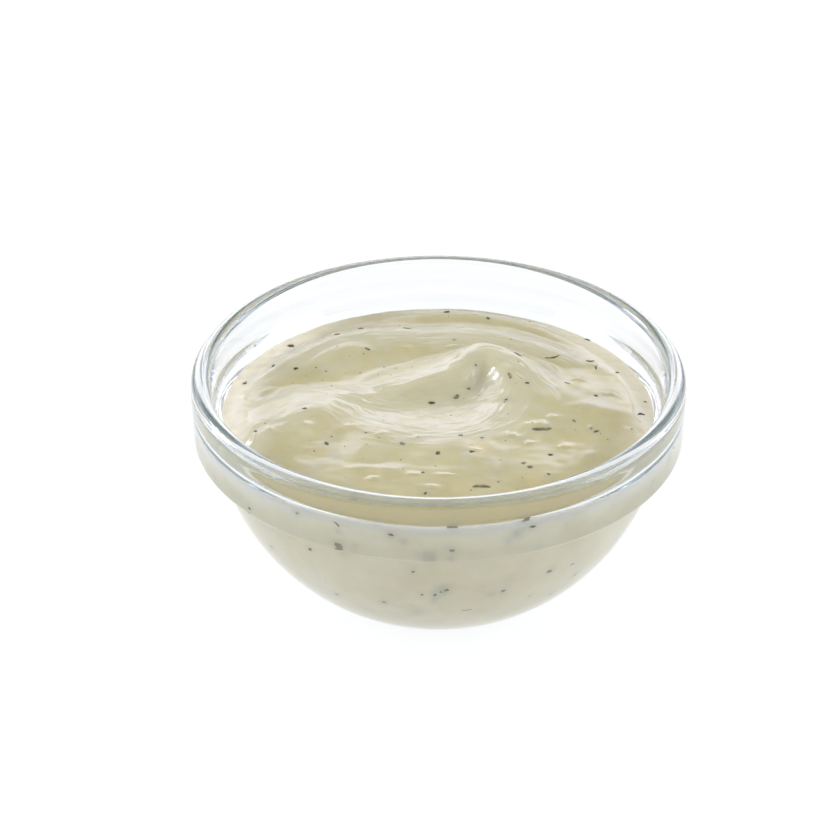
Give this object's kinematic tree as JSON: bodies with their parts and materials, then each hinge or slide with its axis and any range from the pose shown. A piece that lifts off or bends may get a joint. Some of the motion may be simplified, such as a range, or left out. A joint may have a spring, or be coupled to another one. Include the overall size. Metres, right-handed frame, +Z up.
{
  "type": "garlic sauce in a glass bowl",
  "caption": "Thick cream-coloured garlic and herb sauce, swirled on top, in a small round clear glass stacking bowl with a rounded rim and a stepped collar.",
  "frame": {"origin": "centre of the bowl's base, on the surface that it stands on", "axes": "+Z up along the bowl's axis; +Y away from the side that the picture was taken from, +X to the right as seen from there"},
  "size_m": [0.09, 0.09, 0.0438],
  "materials": {
    "clear_glass": "clear, smooth pressed glass with a faint grey-green tint at its edges",
    "sauce": "moist, glossy, opaque cream sauce, pale beige",
    "herb": "dull dried herb leaf, dark olive green to brown"
  },
  "bodies": {
    "root": {"glass_bowl": "clear_glass", "garlic_sauce": "sauce"}
  },
  "joints": []
}
